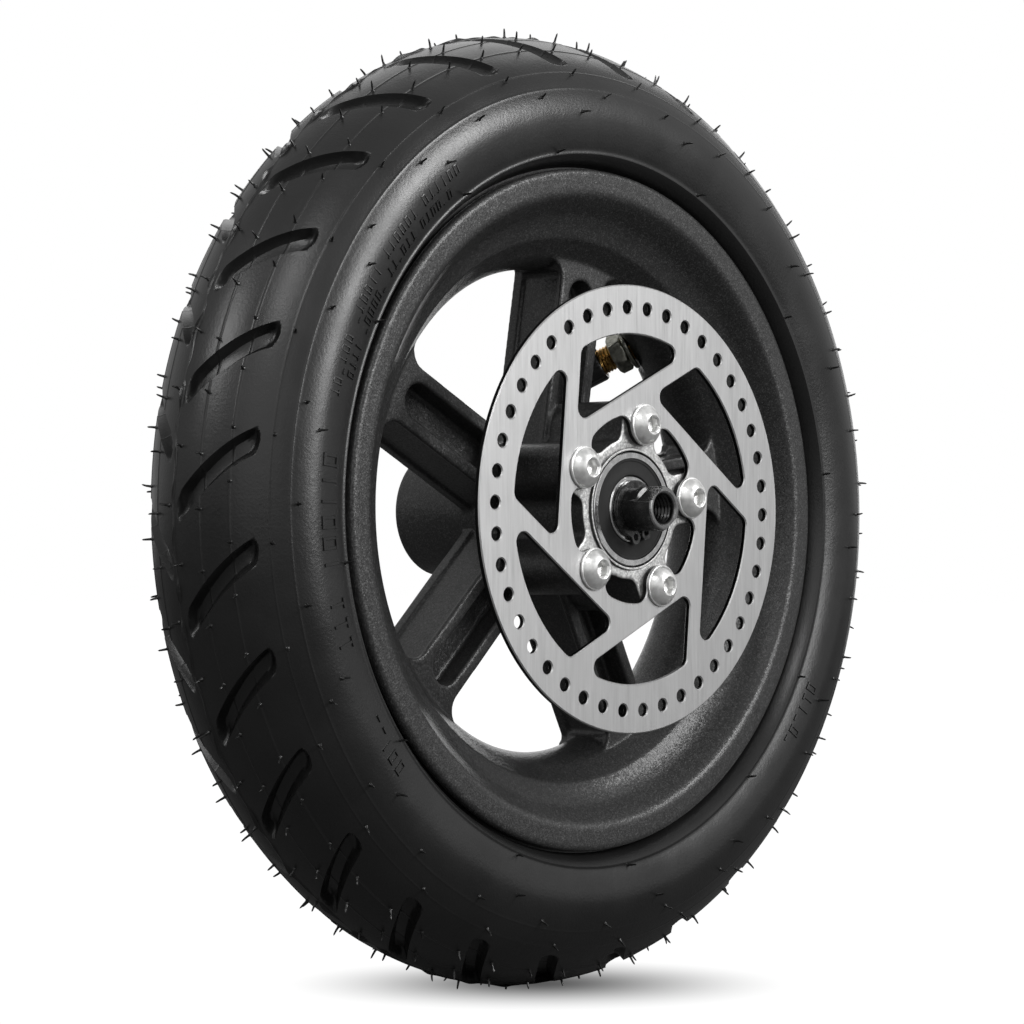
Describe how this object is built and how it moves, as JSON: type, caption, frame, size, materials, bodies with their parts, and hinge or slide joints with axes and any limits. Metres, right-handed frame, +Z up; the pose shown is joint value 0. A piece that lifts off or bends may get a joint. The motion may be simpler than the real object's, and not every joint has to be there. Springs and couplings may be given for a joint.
{
  "type": "disc-brake scooter wheel",
  "caption": "Small pneumatic scooter wheel: grooved tyre on a cast spoked rim with a drilled brake disc, turning on sealed ball bearings round a fixed axle with threaded ends.",
  "frame": {"origin": "the wheel's centre: the axle's centre line where it crosses the tyre's middle plane", "axes": "+Y along the axle, from the brake disc side to the far side; +Z up, the tyre standing on its tread at the lowest Z; +X along the ground"},
  "size_m": [0.217, 0.078, 0.217],
  "materials": {
    "tyre_rubber": "satin black moulded rubber with mould vent whiskers",
    "tube_rubber": "matt black butyl rubber",
    "powder_coat": "satin black powder coat with fine metallic sparkle on cast aluminium",
    "disc_steel": "fine brushed stainless steel",
    "bolt_steel": "satin zinc-plated steel",
    "bearing_steel": "ground and polished bearing steel",
    "cage_steel": "pressed steel",
    "seal_rubber": "matt moulded nitrile rubber",
    "axle_steel": "black oxide on turned steel",
    "turned_steel": "turned steel",
    "valve_brass": "turned brass",
    "nickel": "nickel-plated brass",
    "cap_plastic": "matt black moulded plastic"
  },
  "bodies": {
    "axle_assembly": {"axle": "axle_steel", "circlip_disc_side": "axle_steel", "circlip_far_side": "axle_steel", "spacer_tube": "turned_steel", "bearing_inner_ring_disc_side": "bearing_steel", "bearing_inner_ring_far_side": "bearing_steel"},
    "wheel": {"tyre": "tyre_rubber", "inner_tube": "tube_rubber", "wheel_casting": "powder_coat", "brake_disc": "disc_steel", "disc_bolt_1": "bolt_steel", "disc_bolt_2": "bolt_steel", "disc_bolt_3": "bolt_steel", "disc_bolt_4": "bolt_steel", "disc_bolt_5": "bolt_steel", "bearing_outer_ring_disc_side": "bearing_steel", "bearing_outer_seal_disc_side": "seal_rubber", "bearing_inner_seal_disc_side": "seal_rubber", "bearing_outer_ring_far_side": "bearing_steel", "bearing_outer_seal_far_side": "seal_rubber", "bearing_inner_seal_far_side": "seal_rubber", "valve_stem": "valve_brass", "valve_washer": "nickel", "valve_nut": "nickel", "valve_core": "valve_brass"},
    "cage_disc_side": {"bearing_cage_disc_side": "cage_steel", "ball_1_disc_side": "bearing_steel", "ball_2_disc_side": "bearing_steel", "ball_3_disc_side": "bearing_steel", "ball_4_disc_side": "bearing_steel", "ball_5_disc_side": "bearing_steel", "ball_6_disc_side": "bearing_steel", "ball_7_disc_side": "bearing_steel"},
    "cage_far_side": {"bearing_cage_far_side": "cage_steel", "ball_1_far_side": "bearing_steel", "ball_2_far_side": "bearing_steel", "ball_3_far_side": "bearing_steel", "ball_4_far_side": "bearing_steel", "ball_5_far_side": "bearing_steel", "ball_6_far_side": "bearing_steel", "ball_7_far_side": "bearing_steel"},
    "valve_cap": {"valve_cap": "cap_plastic"},
    "valve_pin": {"valve_pin": "valve_brass"}
  },
  "joints": [
    {"name": "wheel_spin", "type": "hinge", "parent": "axle_assembly", "child": "wheel", "pos_m": [0, 0, 0], "axis": [0, 1, 0], "continuous": true},
    {"name": "cage_disc_side_spin", "type": "hinge", "parent": "axle_assembly", "child": "cage_disc_side", "pos_m": [0, -0.02545, 0], "axis": [0, 1, 0], "continuous": true},
    {"name": "cage_far_side_spin", "type": "hinge", "parent": "axle_assembly", "child": "cage_far_side", "pos_m": [0, 0.027, 0], "axis": [0, 1, 0], "continuous": true},
    {"name": "valve_cap_lift", "type": "slide", "parent": "wheel", "child": "valve_cap", "axis": [-0.4686, 0.766, -0.44], "range_m": [0, 0.012]},
    {"name": "valve_pin_press", "type": "slide", "parent": "wheel", "child": "valve_pin", "axis": [0.4686, -0.766, 0.44], "range_m": [0, 0.0015], "stiffness_N_per_m": 200}
  ],
  "couplings": [
    {"joint": "cage_disc_side_spin", "follows": "wheel_spin", "ratio": 0.632},
    {"joint": "cage_far_side_spin", "follows": "wheel_spin", "ratio": 0.632}
  ]
}
